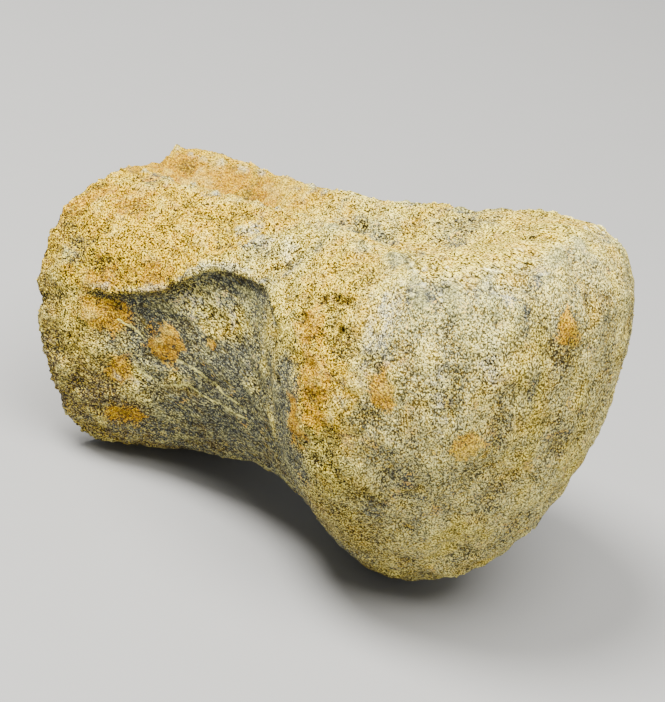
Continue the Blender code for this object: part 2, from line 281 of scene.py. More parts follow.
class ToneSettings(bpy.types.PropertyGroup):
    cream: bpy.props.FloatVectorProperty(
        name="Cream", description="Main colour of the bone",
        subtype="COLOR", default=(0.46, 0.358, 0.035))
    ochre: bpy.props.FloatVectorProperty(
        name="Ochre", description="Yellow of the facets", subtype="COLOR", default=(0.46, 0.278, 0.0))
    olive: bpy.props.FloatVectorProperty(
        name="Olive", description="Greyer bone of the ball",
        subtype="COLOR", default=(0.42, 0.375, 0.150))
    slate: bpy.props.FloatVectorProperty(
        name="Slate", description="Dark grey-blue of the hollows",
        subtype="COLOR", default=(0.046, 0.058, 0.066))
    # Umber colours the dark specks, and is also the painted shade in low relief and in the pits.
    umber: bpy.props.FloatVectorProperty(
        name="Umber", description="Dark specks", subtype="COLOR", default=(0.042, 0.031, 0.012))
    # Brown of the soil, also the painted shade on the undersides.
    clay: bpy.props.FloatVectorProperty(
        name="Clay", description="Brown earth on the rim and the belly",
        subtype="COLOR", default=(0.090, 0.064, 0.038))
    rust: bpy.props.FloatVectorProperty(
        name="Rust", description="Iron stains", subtype="COLOR", default=(0.40, 0.195, 0.0))
    chalk: bpy.props.FloatVectorProperty(
        name="Chalk", description="Pale mineral", subtype="COLOR", default=(0.40, 0.40, 0.31))
    # Glint colours the light specks, partly as painted glints, the scratches, and the painted highlight on
    # raised relief.
    glint: bpy.props.FloatVectorProperty(
        name="Glint", description="Light specks of the mineral",
        subtype="COLOR", default=(1.0, 0.93, 0.26))
    # Gold is the painted glint of light specks in the yellow and rusty parts.
    gold: bpy.props.FloatVectorProperty(
        name="Gold", description="Light specks of the facets",
        subtype="COLOR", default=(1.0, 0.81, 0.02))


class StageSettings(bpy.types.PropertyGroup):
    azimuth: bpy.props.FloatProperty(
        name="Azimuth", description="Camera's turn to the ball's side",
        default=math.radians(33.425), unit="ROTATION")
    elevation: bpy.props.FloatProperty(
        name="Elevation", description="Camera's height above level",
        default=math.radians(28.339), unit="ROTATION")
    roll: bpy.props.FloatProperty(
        name="Roll", description="Camera's turn about its view",
        default=math.radians(12.777), unit="ROTATION")
    distance: bpy.props.FloatProperty(
        name="Distance", description="Camera to the bone", default=0.32468, unit="LENGTH")
    target: bpy.props.FloatVectorProperty(
        name="Target", description="Point the camera looks at",
        default=(0.0, -0.00082, 0.03247), subtype="TRANSLATION")
    lens: bpy.props.FloatProperty(
        name="Lens", description="Focal length in millimetres", default=101.33, min=1.0, unit="CAMERA")
    key_power: bpy.props.FloatProperty(
        name="Key", description="Power of the main light in watts", default=19.0, min=0.0, unit="POWER")
    fill_power: bpy.props.FloatProperty(
        name="Fill", description="Power of the fill light in watts",
        default=21.0, min=0.0, unit="POWER")
    sky: bpy.props.FloatProperty(
        name="Sky", description="Strength of the even light all round",
        default=0.4, min=0.0, subtype="UNSIGNED")
    floor: bpy.props.FloatVectorProperty(
        name="Floor", description="Colour of the floor", subtype="COLOR", default=(0.30, 0.308, 0.328))


# Helpers for nodes.


def feed(tree, socket, value):
    if isinstance(value, bpy.types.NodeSocket):
        tree.links.new(value, socket)
    else:
        socket.default_value = value


def node(tree, kind, values=(), named=None, **settings):
    """A new node with its properties set and its inputs fed in order, or by name."""
    made = tree.nodes.new(kind)
    for key, value in settings.items():
        setattr(made, key, value)
    for i, value in enumerate(values):
        feed(tree, made.inputs[i], value)
    for key, value in (named or {}).items():
        feed(tree, made.inputs[key], value)
    return made


def calc(tree, operation, *values):
    return node(tree, "ShaderNodeMath", values, operation=operation).outputs[0]


def total(tree, first, *rest):
    for value in rest:
        first = calc(tree, "ADD", first, value)
    return first


def product(tree, first, *rest):
    for value in rest:
        first = calc(tree, "MULTIPLY", first, value)
    return first


def step(tree, value, low, high, to_low=0.0, to_high=1.0):
    """A smooth step from to_low to to_high as value goes from low to high."""
    fed = (value, low, high, to_low, to_high)
    return node(tree, "ShaderNodeMapRange", fed, interpolation_type="SMOOTHSTEP").outputs[0]


def noise(tree, vector, scale, detail=2.0, roughness=0.5, distortion=0.0):
    fed = {"Vector": vector, "Scale": scale, "Detail": detail, "Roughness": roughness}
    fed["Distortion"] = distortion
    return node(tree, "ShaderNodeTexNoise", named=fed, noise_dimensions="3D").outputs[0]


def cells(tree, vector, scale):
    return node(tree, "ShaderNodeTexVoronoi", named={"Vector": vector, "Scale": scale}, feature="F1")


def vector_calc(tree, operation, *values, scale=None):
    named = {} if scale is None else {"Scale": scale}
    made = node(tree, "ShaderNodeVectorMath", values, named, operation=operation)
    return made.outputs["Value" if operation in ("DOT_PRODUCT", "DISTANCE") else "Vector"]


def stretched(tree, vector, factors):
    return vector_calc(tree, "MULTIPLY", vector, factors)


def between(tree, share, a, b):
    """The value a where the share is 0, and b where it is 1."""
    made = node(tree, "ShaderNodeMix", (share,), data_type="FLOAT")
    feed(tree, made.inputs[2], a)
    feed(tree, made.inputs[3], b)
    return made.outputs[0]


def blend(tree, factor, a, b):
    made = node(tree, "ShaderNodeMix", data_type="RGBA", blend_type="MIX", clamp_factor=True)
    feed(tree, made.inputs[0], factor)
    feed(tree, made.inputs[6], a)
    feed(tree, made.inputs[7], b)
    return made.outputs[2]


def put_out(tree, out, values):
    for name, value in values.items():
        tree.links.new(value, out.inputs[name])


def opaque(colour):
    return (*colour, 1.0)


def new_group(name, kind, inputs, outputs):
    """A node group with named inputs and outputs, each given with the kind of its socket."""
    tree = bpy.data.node_groups.new(name, kind)
    for label, socket in inputs:
        tree.interface.new_socket(name=label, in_out="INPUT", socket_type="NodeSocket" + socket)
    for label, socket in outputs:
        tree.interface.new_socket(name=label, in_out="OUTPUT", socket_type="NodeSocket" + socket)
    return tree, tree.nodes.new("NodeGroupInput"), tree.nodes.new("NodeGroupOutput")


# Where the bone's regions lie.


def ramp(start, end, value):
    t = np.clip((value - start) / (end - start), 0.0, 1.0)
    return t * t * (3.0 - 2.0 * t)


def own_millimetres(points):
    """Points of the part's frame, in millimetres of the bone's own frame."""
    x, y, z = (points - OWN_ORIGIN).T * MILLIMETRES
    c, s = math.cos(TIP), math.sin(TIP)
    return x * c + z * s, y, z * c - x * s


def channel_half(x):
    flare = np.clip((x - FLARE_START) / (FLARE_END - FLARE_START), 0.0, 1.0)
    return CHANNEL_HALF + (CHANNEL_FLARED - CHANNEL_HALF) * flare**FLARE_CURVE


def ledge_height(x):
    risen = LEDGE_FRONT + (LEDGE_MIDDLE - LEDGE_FRONT) * ramp(*LEDGE_RISES, x)
    return risen + (LEDGE_BACK - LEDGE_MIDDLE) * ramp(*LEDGE_FALLS, x)


def patches(x, y, z, places):
    """The nearness to any of these patches on either side, 1 in the middle and 0 from twice the radius."""
    near = np.zeros_like(x)
    for px, py, pz, radius, tall in places:
        for side, dx, dz in ((1.0, 0.0, 0.0), (-1.0, *FAR_SHIFT)):
            off = (x - px - dx) ** 2 + (y - side * py) ** 2 + ((z - pz - dz) / tall) ** 2
            near = np.maximum(near, 1.0 - np.sqrt(off) / (2.0 * radius))
    return near


def band(value, middle, width):
    """A soft band: 1 at its middle, fading over the width on both sides."""
    return np.exp(-(((value - middle) / width) ** 2))


def fullness(at, rows):
    """How full a region is at each point: the product of its fades along the measures."""
    share = 1.0
    for measure, begins, full in rows:
        share = share * ramp(begins, full, at[measure])
    return share


def measures_of(points):
    """Measures of the bone at each point, in its own millimetres; outward is a share of the dish."""
    x, y, z = own_millimetres(points)
    side, above = np.abs(y), z - ledge_height(x)
    rear = HOLLOW_BACK - HOLLOW_LEAN * (z - LEDGE_MIDDLE) - x
    sweep = np.clip(SWEEP_RATE * (SWEEP_TOP - z), 0.0, SWEEP_MOST) * ramp(*SWEEP_END, z)
    forward, across = np.maximum(x - DISH_START, 0.0) / DISH_LENGTH, side / CHANNEL_FLARED
    outward = (forward**DISH_SQUARENESS + across**DISH_SQUARENESS) ** (1.0 / DISH_SQUARENESS)
    return {
        "x": x, "y": y, "z": z, "side": side, "beside": side - channel_half(x),
        "above": above, "below": -above, "off_ledge": np.abs(above),
        "rear": rear, "off_corner": np.abs(rear - CORNER), "swept": rear + sweep,
        "outward": outward,
        "flared": side + SOCKET_FLARE * np.maximum(x - SOCKET_DEPTH, 0.0),
        "past_line": x - YELLOW_X - YELLOW_SLOPE * (z - YELLOW_Z),
    }


def brow_strength(x, y):
    """How strong the brow is along its length, from 0.1 to 1."""
    return 0.55 + 0.45 * np.sin(0.8 * x + 0.6 * y + 2.0 * np.sin(0.31 * y))


def crest_strength(x, y):
    """How strong the crests are along their length, from 0.3 to 1."""
    wave = np.sin(0.9 * x + 2.1 * np.sin(0.37 * x) + y) + 0.7 * np.sin(2.3 * x + 1.7 * y)
    return 0.3 + 0.7 * ramp(-0.6, 0.8, wave)


def regions(points):
    """One value for each point and each skin attribute."""
    at = measures_of(points)
    x, y, z = at["x"], at["y"], at["z"]
    share = {name: fullness(at, rows) for name, rows in REGIONS.items()}
    edge = {name: band(at[measure], middle, width) for name, (measure, middle, width) in EDGES.items()}
    stain = {name: patches(x, y, z, places) for name, places in PATCHES.items()}

    facet, rim, belly, outside = (share[name] for name in ("facet", "rim", "belly", "outside"))
    dish, groove = share["top"] * share["dish"], share["top"] * share["groove"]
    neck = share["neck"] * (1.0 - dish)
    hollow = share["hollow"] * outside
    brow = edge["brow_round"] * share["brow_round"] + edge["brow_along"] * share["brow_along"]
    brow = np.clip(brow, 0.0, 1.0) * share["brow"] * brow_strength(x, y)
    lip = edge["lip"] * share["lip"] * outside
    crest = edge["crest"] * share["crest"] * crest_strength(x, y)

    ochre = 0.95 * facet * share["yellow"] + 0.75 * groove * share["warm_groove"]
    ochre += 0.6 * neck * share["warm_neck"] + 0.45 * rim + 0.35 * dish
    # Brown soil with painted shade: the undersides, below the ledge and the rim's lower end darkened towards
    # clay.
    earth = 0.5 * share["earth_and_shade_rim"] + 1.1 * belly * share["earth_and_shade_belly"] + 0.45 * share["earth_and_shade_neck"]
    earth += share["earth_and_shade_flank"] * (0.25 * share["earth_and_shade_below_ledge"] + 0.95 * share["earth_and_shade_low"])
    slate = 0.38 * crest + 0.8 * brow + 0.3 * lip + 0.85 * hollow * (1.0 - 0.3 * belly)
    slate += 0.65 * stain["slate"] - 0.8 * stain["pale"]
    chalky = (stain["chalk"], 0.95 * lip, 0.8 * crest, 0.35 * brow, 0.6 * stain["pale"])
    lengthwise = dish + hollow * share["drawn_hollow"] + rim * share["drawn_rim"]
    return {
        "facet": np.clip(facet + 0.8 * rim + 0.7 * neck + 0.5 * groove, 0.0, 1.0),
        "ochre": np.clip(ochre, 0.0, 1.0),
        "slate": np.clip(slate, 0.0, 1.0),
        "rust": stain["rust"],
        "chalk": np.maximum.reduce(chalky),
        "earth": np.clip(earth, 0.0, 1.0),
        "upright": share["ball"] * (1.0 - dish),
        "lengthwise": np.clip(lengthwise, 0.0, 1.0),
        "neck": neck,
        "lip": lip,
        "crest": crest,
        "under": edge["under"] * share["under"] * outside,
        "calm": np.maximum(groove * share["calm_groove"], share["calm_rim"]),
        "pit": stain["pit"],
        "brow": brow,
        "flaky": edge["flaky"] * share["flaky"],
        "worn": share["worn"],
    }


# Meshes.


def new_object(name, data):
    made = bpy.data.objects.new(name, data)
    bpy.context.scene.collection.objects.link(made)
    return made


def skin_of(name):
    """A fine, even mesh in the form of a solid of the frame."""
    work = bmesh.new()
    work.from_mesh(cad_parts[name].data)
    bmesh.ops.remove_doubles(work, verts=work.verts, dist=1e-6)
    flat = math.radians(60)
    bmesh.ops.join_triangles(
        work, faces=work.faces, angle_face_threshold=flat, angle_shape_threshold=flat)
    mesh = bpy.data.meshes.new(name + "_form")
    work.to_mesh(mesh)
    work.free()
    mesh.materials.clear()
    form = new_object(name + "_form", mesh)
    rounded = form.modifiers.new("rounded", "SUBSURF")
    rounded.levels = rounded.render_levels = 2
    even = form.modifiers.new("even", "REMESH")
    even.mode = "VOXEL"
    even.voxel_size = bpy.context.scene.fossil_skin.voxel
    return form


def plain_mesh(obj, name):
    """The evaluated mesh of an object, as a new object; the old one is removed."""
    shown = bpy.context.evaluated_depsgraph_get()
    mesh = bpy.data.meshes.new_from_object(obj.evaluated_get(shown), depsgraph=shown)
    mesh.name = name
    old = obj.data
    bpy.data.objects.remove(obj)
    if old.users == 0:
        bpy.data.meshes.remove(old)
    return new_object(name, mesh)


def coordinates(mesh):
    places = np.zeros(len(mesh.vertices) * 3)
    mesh.vertices.foreach_get("co", places)
    return places.reshape(-1, 3)


def store_regions(mesh):
    for name, values in regions(coordinates(mesh)).items():
        attribute = mesh.attributes.new(name, "FLOAT", "POINT")
        attribute.data.foreach_set("value", values.astype(np.float32))


def lower_ledge(mesh):
    """Slides the front end of the ledge down along the flank, with the surface close to it."""
    points = coordinates(mesh)
    down = LEDGE_SAG / MILLIMETRES * fullness(measures_of(points), SAGGING)
    points += down[:, None] * np.array([math.sin(TIP), 0.0, -math.cos(TIP)])
    mesh.vertices.foreach_set("co", points.ravel())


def add_tree(obj, tree, values):
    """Puts a geometry tree on an object and sets its named inputs."""
    modifier = obj.modifiers.new(tree.name, "NODES")
    modifier.node_group = tree
    for item in tree.interface.items_tree:
        if item.item_type == "SOCKET" and item.in_out == "INPUT" and item.name in values:
            modifier[item.identifier] = values[item.name]


def inputs_from(settings, material):
    """Values for a tree's inputs: the settings by their names in the tree, and the material."""
    values = {key.replace("_", " ").title(): getattr(settings, key) for key in settings.__annotations__}
    return {**values, "Material": material}


def attribute_in(tree, name):
    return node(tree, "GeometryNodeInputNamedAttribute", named={"Name": name}, data_type="FLOAT").outputs[0]


def turned_about_y(tree, vector, angle):
    fed = {"Vector": vector, "Angle": angle}
    return node(tree, "ShaderNodeVectorRotate", named=fed, rotation_type="Y_AXIS").outputs[0]


def into_own_frame(tree, place):
    """A place in the part's frame, turned into the bone's own frame; both in metres."""
    moved = vector_calc(tree, "SUBTRACT", place, tuple(OWN_ORIGIN))
    return turned_about_y(tree, moved, TIP)


def stored(tree, geometry, name, value):
    """The geometry with one more value on its points."""
    fed = {"Geometry": geometry, "Name": name, "Value": value}
    made = node(tree, "GeometryNodeStoreNamedAttribute", named=fed, data_type="FLOAT", domain="POINT")
    return made.outputs[0]


def set_position(tree, geometry, **moved):
    """The geometry with its points moved to a Position or by an Offset."""
    return node(tree, "GeometryNodeSetPosition", named={"Geometry": geometry, **moved}).outputs[0]


def finish_geometry(tree, geometry, material, out):
    """Makes instances real, shades the mesh smooth, gives it the material and puts it out."""
    whole = node(tree, "GeometryNodeRealizeInstances", (geometry,)).outputs[0]
    smooth = node(tree, "GeometryNodeSetShadeSmooth", (whole,)).outputs[0]
    made = node(tree, "GeometryNodeSetMaterial", named={"Geometry": smooth, "Material": material})
    tree.links.new(made.outputs[0], out.inputs[0])


def swell(tree, pattern, height):
    """Noise spread out to between -height and height."""
    return step(tree, pattern, *NOISE_SPREAD, -height, height)


def weathering_tree():
    """Granular bone, pits, flutes and the ledge's lip, as real relief along the surface's normals."""
    sizes = (
        "Grain Height", "Grain Size", "Pit Depth", "Pit Spacing", "Flute Height", "Flute Spacing",
        "Lip Height")
    inputs = [("Geometry", "Geometry")] + [(size, "Float") for size in sizes]
    inputs += [("Material", "Material")]
    outputs = [("Geometry", "Geometry")]
    tree, fed, out = new_group("bone_weathering", "GeometryNodeTree", inputs, outputs)
    size = fed.outputs
    here = node(tree, "GeometryNodeInputPosition").outputs[0]
    blur = {"Value": here, "Iterations": SOFTENINGS, "Weight": attribute_in(tree, "worn")}
    softened = node(tree, "GeometryNodeBlurAttribute", named=blur, data_type="FLOAT_VECTOR").outputs[0]
    soft = set_position(tree, size["Geometry"], Position=softened)
    place = into_own_frame(tree, here)
    facet, ball, along = (attribute_in(tree, name) for name in ("facet", "upright", "lengthwise"))

    grain_scale = calc(tree, "DIVIDE", 1.0, size["Grain Size"])
    lumps = swell(tree, noise(tree, place, grain_scale, 3.0, 0.6), 1.0)
    rough = total(tree, product(tree, facet, GRAIN_SHARES[1]), GRAIN_SHARES[0])
    grain = product(tree, lumps, size["Grain Height"], rough)
    broad = noise(tree, place, product(tree, grain_scale, ROLL_SCALE), 2.0)
    rolling = total(tree, product(tree, facet, ROLL_SHARES[1]), ROLL_SHARES[0])
    worn = product(tree, swell(tree, broad, ROLL_HEIGHT), size["Grain Height"], rolling)

    pit_scale = calc(tree, "DIVIDE", 1.0, size["Pit Spacing"])
    wavy = noise(tree, place, product(tree, pit_scale, 2.0), 1.0)
    pit = cells(tree, place, pit_scale)
    reach = calc(tree, "ADD", pit.outputs["Distance"], product(tree, wavy, PIT_WAVE))
    drawn = node(tree, "FunctionNodeSeparateColor", (pit.outputs["Color"],)).outputs[0]
    hole = product(
        tree, step(tree, reach, *PIT_EDGE), step(tree, drawn, *PIT_CHANCE), attribute_in(tree, "neck"),
        size["Pit Depth"])
    bored = product(tree, step(tree, attribute_in(tree, "pit"), *BORED_EDGE), size["Pit Depth"])

    flute_scale = calc(tree, "DIVIDE", 1.0, size["Flute Spacing"])
    wrinkle_scale = product(tree, flute_scale, WRINKLE_SCALE)
    upright = noise(tree, stretched(tree, place, UPRIGHT_FLUTES), flute_scale, 2.0)
    lengthwise = noise(tree, stretched(tree, place, LENGTHWISE_FLUTES), wrinkle_scale, 2.0)
    flute = product(tree, swell(tree, upright, 1.0), size["Flute Height"], ball)
    wrinkle = product(tree, swell(tree, lengthwise, WRINKLE_HEIGHT), size["Flute Height"], along)
    ragged = step(tree, noise(tree, place, RAGGED_SCALE, 2.0), *RAGGED_RANGE)
    brow, lip, under, crest = (
        product(tree, attribute_in(tree, name), size["Lip Height"], *factors)
        for name, factors in (
            ("brow", (total(tree, ragged, BROW_LIFT),)), ("lip", (ragged,)),
            ("under", (UNDER_HEIGHT,)), ("crest", (ragged, CREST_HEIGHT))))

    raised = total(tree, brow, grain, worn, flute, wrinkle, lip, under, crest)
    relief = calc(tree, "SUBTRACT", raised, total(tree, hole, bored))
    normal = node(tree, "GeometryNodeInputNormal").outputs[0]
    moved = set_position(tree, soft, Offset=vector_calc(tree, "SCALE", normal, scale=relief))
    kept = stored(tree, moved, "relief", product(tree, relief, MILLIMETRES))
    # Nothing sinks below the floor.
    place = node(tree, "GeometryNodeInputPosition").outputs[0]
    lifted = vector_calc(tree, "MAXIMUM", place, (FAR_OFF, FAR_OFF, 0.0))
    finish_geometry(tree, set_position(tree, kept, Position=lifted), size["Material"], out)
    return tree


def scattered(tree, mesh, density, seed):
    fed = {"Mesh": mesh, "Density": density, "Seed": seed}
    return node(tree, "GeometryNodeDistributePointsOnFaces", named=fed, distribute_method="RANDOM")


def random_vectors(tree, low, high, seed):
    fed = {"Min": low, "Max": high, "Seed": seed}
    return node(tree, "FunctionNodeRandomValue", named=fed, data_type="FLOAT_VECTOR").outputs[0]


def on_points(tree, points, instance, rotation, scale):
    fed = {"Points": points, "Instance": instance, "Rotation": rotation, "Scale": scale}
    return node(tree, "GeometryNodeInstanceOnPoints", named=fed).outputs[0]


def crust_tree():
    """Mineral grains scattered over the bone and half sunk in it, thickest on the rough parts."""
    inputs = [("Geometry", "Geometry")]
    inputs += [(name, "Float") for name in ("Density", "Smallest", "Largest", "Flakes")]
    inputs += [("Seed", "Int"), ("Material", "Material")]
    outputs = [("Geometry", "Geometry")]
    tree, fed, out = new_group("crust_grains", "GeometryNodeTree", inputs, outputs)
    size = fed.outputs
    place = node(tree, "GeometryNodeInputPosition").outputs[0]
    height = node(tree, "ShaderNodeSeparateXYZ", (place,)).outputs[2]
    patchy = step(tree, noise(tree, place, CRUST_PATCH_SCALE, 3.0), *CRUST_PATCHES)
    rough = product(tree, attribute_in(tree, "facet"), CRUST_ROUGH)
    thick = total(tree, rough, product(tree, attribute_in(tree, "chalk"), CRUST_CHALK), CRUST_ALL)
    density = product(tree, size["Density"], patchy, thick, step(tree, height, *CLEAR_OF_FLOOR))
    points = scattered(tree, size["Geometry"], density, size["Seed"])
    grain = node(tree, "GeometryNodeMeshIcoSphere", named={"Radius": 1.0, "Subdivisions": 1}).outputs[0]
    turn = random_vectors(tree, *GRAIN_TURNS, size["Seed"])
    shape = random_vectors(tree, *GRAIN_SHAPES, SHAPE_SEED)
    drawn = node(tree, "FunctionNodeRandomValue", data_type="FLOAT", named={"Seed": SIZE_SEED})
    share = calc(tree, "POWER", drawn.outputs[1], 2.0)
    spread = calc(tree, "SUBTRACT", size["Largest"], size["Smallest"])
    radius = total(tree, product(tree, spread, share), size["Smallest"])
    grains = on_points(tree, points.outputs[0], grain, turn, vector_calc(tree, "SCALE", shape, scale=radius))

    flaking = product(tree, size["Flakes"], attribute_in(tree, "flaky"))
    laid = scattered(tree, size["Geometry"], flaking, size["Seed"])
    wide = random_vectors(tree, *FLAKE_SHAPES, FLAKE_SEED)
    bleached = stored(tree, laid.outputs[0], "chalk", FLAKE_CHALK)
    flake_size = vector_calc(tree, "SCALE", wide, scale=size["Largest"])
    flakes = on_points(tree, bleached, grain, laid.outputs["Rotation"], flake_size)
    both = node(tree, "GeometryNodeJoinGeometry")
    for layer in (grains, flakes):
        tree.links.new(layer, both.inputs[0])
    finish_geometry(tree, both.outputs[0], size["Material"], out)
    return tree


# Materials.


def grain_group():
    """Salt-and-pepper grain of the mineral, drawn out upright on the ball and lengthwise in the hollows."""
    outputs = ("Fleck", "Height", "Mottle", "Blotch", "Streak", "Crystal", "Fibre")
    tree, fed, out = new_group(
        "mineral_grain", "ShaderNodeTree",
        [("Vector", "Vector"), ("Upright", "Float"), ("Lengthwise", "Float")],
        [(name, "Float") for name in outputs])
    place, on_ball, drawn_out = (fed.outputs[name] for name in ("Vector", "Upright", "Lengthwise"))
    slanted = turned_about_y(tree, place, HOLLOW_SLANT)
    even = noise(tree, place, GRAIN_SCALE, 1.5, 0.7, 0.2)
    upright = noise(tree, stretched(tree, place, BALL_STRETCH), BALL_GRAIN_SCALE, 1.5, 0.7, 0.2)
    lengthwise = noise(tree, stretched(tree, slanted, HOLLOW_STRETCH), HOLLOW_GRAIN_SCALE, 1.5, 0.7, 0.2)
    fine = between(tree, product(tree, on_ball, 0.85), even, upright)
    fine = between(tree, product(tree, drawn_out, 0.6), fine, lengthwise)
    sharper = calc(tree, "MULTIPLY_ADD", calc(tree, "MAXIMUM", on_ball, drawn_out), 0.3, 1.0)
    grainy = total(tree, product(tree, calc(tree, "SUBTRACT", fine, 0.5), sharper), 0.5)

    crystals = cells(tree, place, CRYSTAL_SCALE)
    facing_up = calc(tree, "SUBTRACT", 1.1, crystals.outputs["Distance"])
    clumps = noise(tree, place, CLUMP_SCALE, 2.0, 0.6)
    mottle = noise(tree, place, MOTTLE_SCALE, 3.0, 0.6, 0.4)
    blotch = noise(tree, place, BLOTCH_SCALE, 4.0, 0.6, 0.5)
    streak = noise(tree, stretched(tree, place, STREAK_STRETCH), STREAK_SCALE, 4.0, 0.6)
    fibres = noise(tree, stretched(tree, slanted, FIBRE_STRETCH), FIBRE_SCALE, 2.0, 0.6, 0.3)
    height = total(
        tree, product(tree, grainy, 0.72), product(tree, facing_up, 0.24), product(tree, clumps, 0.14))
    uneven = total(tree, height, product(tree, mottle, 0.10), product(tree, blotch, 0.08), -0.152)
    put_out(tree, out, {
        "Fleck": step(tree, uneven, 0.39, 0.64),
        "Height": height,
        "Mottle": mottle,
        "Blotch": blotch,
        "Streak": streak,
        "Crystal": node(tree, "ShaderNodeSeparateColor", (crystals.outputs["Color"],)).outputs[0],
        "Fibre": product(tree, step(tree, fibres, 0.56, 0.68), drawn_out),
    })
    return tree


def scratch_group():
    """A thin wavering line from Start to End, seen from the side, on the near flank."""
    vectors = [(name, "Vector") for name in ("Vector", "Start", "End")]
    tree, fed, out = new_group(
        "scratch", "ShaderNodeTree", vectors + [("Width", "Float")], [("Mask", "Float")])
    place = fed.outputs["Vector"]
    wobble = node(tree, "ShaderNodeTexNoise", named={"Vector": place, "Scale": WOBBLE_SCALE, "Detail": 3.0})
    centred = vector_calc(tree, "SUBTRACT", wobble.outputs["Color"], (0.5, 0.5, 0.5))
    moved = vector_calc(tree, "MULTIPLY_ADD", centred, (SCRATCH_WANDER, 0.0, SCRATCH_WANDER), place)
    here, start, end = (
        stretched(tree, vector, (1.0, 0.0, 1.0))
        for vector in (moved, fed.outputs["Start"], fed.outputs["End"]))
    along = vector_calc(tree, "SUBTRACT", end, start)
    away = vector_calc(tree, "SUBTRACT", here, start)
    reach = vector_calc(tree, "DOT_PRODUCT", away, along)
    length = vector_calc(tree, "DOT_PRODUCT", along, along)
    share = node(tree, "ShaderNodeClamp", (calc(tree, "DIVIDE", reach, length),)).outputs[0]
    off = vector_calc(tree, "DISTANCE", away, vector_calc(tree, "SCALE", along, scale=share))
    line = step(tree, calc(tree, "DIVIDE", off, fed.outputs["Width"]), 1.0, 0.4)
    near = calc(tree, "LESS_THAN", node(tree, "ShaderNodeSeparateXYZ", (place,)).outputs[1], 0.0)
    tree.links.new(product(tree, line, near), out.inputs["Mask"])
    return tree


def bare_bone(tree, tone, mask, pattern):
    """The mottled bone, greyer and streaked on the ball."""
    greyer = calc(tree, "MAXIMUM", mask["upright"], product(tree, mask["slate"], 0.9))
    colour = blend(tree, greyer, tone["cream"], tone["olive"])
    for name, low, high, strength, shade in MOTTLING:
        share = product(tree, step(tree, pattern[name], low, high), strength)
        colour = blend(tree, share, colour, tone[shade])
    for low, high, strength, shade in STREAKS:
        share = product(tree, mask["upright"], step(tree, pattern["Streak"], low, high), strength)
        colour = blend(tree, share, colour, tone[shade])
    return colour


def stain(tree, mask, name, ragged):
    """A region's mask with a ragged edge, at the strength of its stain."""
    low, high, strength, depth = STAIN_EDGES[name]
    rough = total(tree, mask[name], product(tree, calc(tree, "SUBTRACT", ragged, 0.5), depth))
    return product(tree, step(tree, rough, low, high), strength)


def stained(tree, colour, tone, mask, pattern, rusty):
    """The colour with brown soil and painted shade on the undersides, the stains of the regions, and a
    painted shadow under the lip over it.
    """
    mottle, blotch = pattern["Mottle"], pattern["Blotch"]
    uneven = total(tree, product(tree, mottle, 0.45), product(tree, blotch, 0.55))
    deeper = product(tree, mask["ochre"], step(tree, mottle, 0.50, 0.62), 0.65)
    layers = (
        (stain(tree, mask, "ochre", blotch), "ochre"),
        (deeper, "rust"),
        # Brown soil and painted shade on the undersides.
        (mask["earth"], "clay"),
        (stain(tree, mask, "slate", uneven), "slate"),
        (rusty, "rust"),
        (stain(tree, mask, "chalk", mottle), "chalk"),
        # Painted shadow: a dark slate band under the ledge's lip.
        (stain(tree, mask, "under", mottle), "slate"),
    )
    for share, shade in layers:
        colour = blend(tree, share, colour, tone[shade])
    return colour


def speckled(tree, colour, tone, mask, pattern, rusty, paleness):
    """The colour with its crystals and its light and dark specks; the light specks are partly mineral grains
    and partly painted glints.
    """
    single = pattern["Crystal"]
    clear = calc(tree, "SUBTRACT", 1.0, mask["slate"])
    yellower = product(tree, step(tree, single, 0.66, 0.76, 0.0, 0.45), clear)
    colour = blend(tree, yellower, colour, tone["ochre"])
    colour = blend(tree, step(tree, single, 0.30, 0.20, 0.0, 0.35), colour, tone["slate"])
    lit = total(tree, pattern["Fleck"], paleness)
    upper, lower = step(tree, lit, 0.5, 1.0), step(tree, lit, 0.5, 0.0)
    colour = blend(tree, product(tree, lower, 0.42), colour, tone["umber"])
    lively = product(
        tree, step(tree, rusty, 0.0, 1.0, 1.0, 0.6), step(tree, pattern["Blotch"], 0.36, 0.64, 1.15, 0.95))
    for name, (low, high, factor) in SPECK_FACTORS.items():
        lively = product(tree, lively, step(tree, mask[name], low, high, 1.0, factor))
    brighter = step(tree, mask["upright"], 0.0, 1.0, 1.0, BALL_GAIN)
    light, dark = product(tree, upper, LIGHT_SPECKS, lively), product(tree, lower, DARK_SPECKS, lively)
    gain = calc(tree, "MAXIMUM", total(tree, brighter, light, dark), LEAST_GAIN)
    colour = vector_calc(tree, "SCALE", colour, scale=gain)
    # Painted glints: light specks blended towards glint, and towards gold in the yellow and rusty parts.
    spark = blend(tree, calc(tree, "MAXIMUM", mask["ochre"], rusty), tone["glint"], tone["gold"])
    shiny = product(tree, upper, step(tree, single, 0.3, 0.8, 0.15, 0.8), lively)
    return blend(tree, shiny, colour, spark)


def scratched(tree, colour, tone, pattern, place):
    scratch_tree = scratch_group()
    faded = step(tree, pattern["Mottle"], 0.40, 0.55, 0.15, 0.85)
    worn_away = product(tree, faded, step(tree, pattern["Fleck"], 0.0, 0.6, 0.35, 1.0))
    for ends in zip(SCRATCHES[:-1], SCRATCHES[1:]):
        if all(ends):
            start, end = ((x / MILLIMETRES, 0.0, z / MILLIMETRES) for x, z in ends)
            line = node(tree, "ShaderNodeGroup", node_tree=scratch_tree, named={
                "Vector": place, "Width": SCRATCH_WIDTH, "Start": start, "End": end})
            colour = blend(tree, product(tree, line.outputs[0], worn_away), colour, tone["glint"])
    return colour


